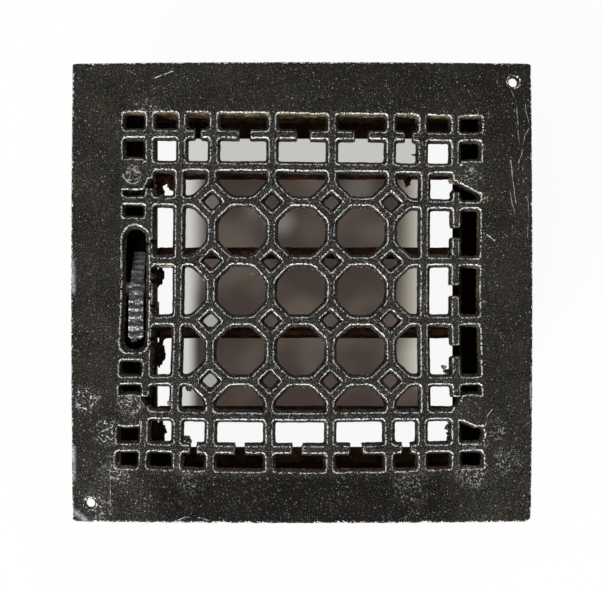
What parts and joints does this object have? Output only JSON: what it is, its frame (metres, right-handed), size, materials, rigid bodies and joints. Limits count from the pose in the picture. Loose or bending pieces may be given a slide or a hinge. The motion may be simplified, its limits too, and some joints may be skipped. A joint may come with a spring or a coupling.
{
  "type": "floor register grate",
  "caption": "Square cast-iron floor register with a pierced octagon and diamond grille, a sheet case and rocker-driven louvers that open and close.",
  "frame": {"origin": "under the middle of the face, at the bottom edge of the case", "axes": "+Z out of the face, up when it lies in a floor; +X towards the side away from the rocker; +Y towards the back"},
  "size_m": [0.254, 0.254, 0.0722],
  "materials": {
    "painted_iron": "worn black paint",
    "rusty_iron": "rough and rusty",
    "rusty_sheet": "dark, rusty sheet",
    "dark_steel": "dull"
  },
  "bodies": {
    "case": {"face_grille": "painted_iron", "back_wall": "rusty_sheet", "front_wall": "rusty_sheet", "left_wall": "rusty_sheet", "right_wall": "rusty_sheet", "left_rail": "rusty_sheet", "right_rail": "rusty_sheet", "corner_rivets": "dark_steel", "lug_back_left": "rusty_sheet", "lug_back_right": "rusty_sheet", "lug_front_left": "rusty_sheet", "lug_front_right": "rusty_sheet", "lug_rivets": "dark_steel", "face_rivets": "painted_iron", "rocker_pin": "dark_steel"},
    "rocker": {"rocker_lever": "painted_iron", "drive_pin": "dark_steel"},
    "tie_link": {"tie_bar": "dark_steel"},
    "blade_1": {"louver_1": "rusty_iron", "link_rivet_1": "dark_steel"},
    "blade_2": {"louver_2": "rusty_iron", "link_rivet_2": "dark_steel"},
    "blade_3": {"louver_3": "rusty_iron", "link_rivet_3": "dark_steel"},
    "blade_4": {"louver_4": "rusty_iron", "link_rivet_4": "dark_steel"}
  },
  "joints": [
    {"name": "rocker_tilt", "type": "hinge", "parent": "case", "child": "rocker", "pos_m": [-0.0915, 0.0015, 0.059], "axis": [1, 0, 0], "range_deg": [0, 58]},
    {"name": "blade_1_turn", "type": "hinge", "parent": "case", "child": "blade_1", "pos_m": [0, -0.06855, 0.025], "axis": [1, 0, 0], "range_deg": [-85.5, 0]},
    {"name": "blade_2_turn", "type": "hinge", "parent": "case", "child": "blade_2", "pos_m": [0, -0.02285, 0.025], "axis": [1, 0, 0], "range_deg": [-85.5, 0]},
    {"name": "blade_3_turn", "type": "hinge", "parent": "case", "child": "blade_3", "pos_m": [0, 0.02285, 0.025], "axis": [1, 0, 0], "range_deg": [-85.5, 0]},
    {"name": "blade_4_turn", "type": "hinge", "parent": "case", "child": "blade_4", "pos_m": [0, 0.06855, 0.025], "axis": [1, 0, 0], "range_deg": [-85.5, 0]},
    {"name": "tie_link_turn", "type": "hinge", "parent": "blade_2", "child": "tie_link", "pos_m": [-0.0835, -0.03558, 0.03773], "axis": [1, 0, 0], "range_deg": [0, 85.5]}
  ],
  "couplings": [
    {"joint": "blade_1_turn", "follows": "rocker_tilt", "ratio": -1.4741},
    {"joint": "blade_2_turn", "follows": "rocker_tilt", "ratio": -1.4741},
    {"joint": "blade_3_turn", "follows": "rocker_tilt", "ratio": -1.4741},
    {"joint": "blade_4_turn", "follows": "rocker_tilt", "ratio": -1.4741},
    {"joint": "tie_link_turn", "follows": "rocker_tilt", "ratio": 1.4741}
  ]
}
